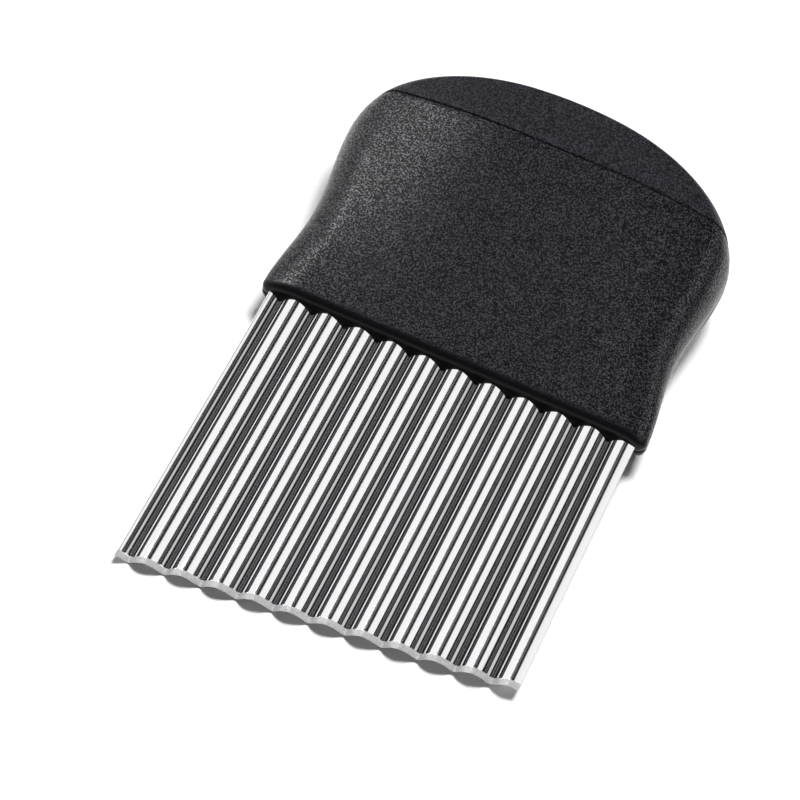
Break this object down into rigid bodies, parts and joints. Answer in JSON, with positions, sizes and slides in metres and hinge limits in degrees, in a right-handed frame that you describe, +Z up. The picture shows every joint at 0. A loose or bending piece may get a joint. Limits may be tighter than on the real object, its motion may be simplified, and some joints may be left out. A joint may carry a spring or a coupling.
{
  "type": "crinkle cutter",
  "caption": "Hand-held crinkle cutter: a wide corrugated steel blade with a slanted, bevelled tip, clamped in a black moulded palm handle, for cutting vegetables into wavy slices.",
  "frame": {"origin": "middle of the footprint, on the surface that the cutter lies on", "axes": "+Y from the blade's tip to the palm end, +Z up, out of the front face, with the cutter lying on its back"},
  "size_m": [0.09, 0.1408, 0.0336],
  "materials": {
    "blade_steel": "polished stainless steel, ground bright along the tip",
    "grained_plastic": "black plastic moulded with a coarse pebbled grain",
    "smooth_plastic": "black plastic moulded with a fine satin grain"
  },
  "bodies": {
    "root": {"blade": "blade_steel", "front_shell": "grained_plastic", "rear_shell": "grained_plastic", "palm_cap": "smooth_plastic"}
  },
  "joints": []
}
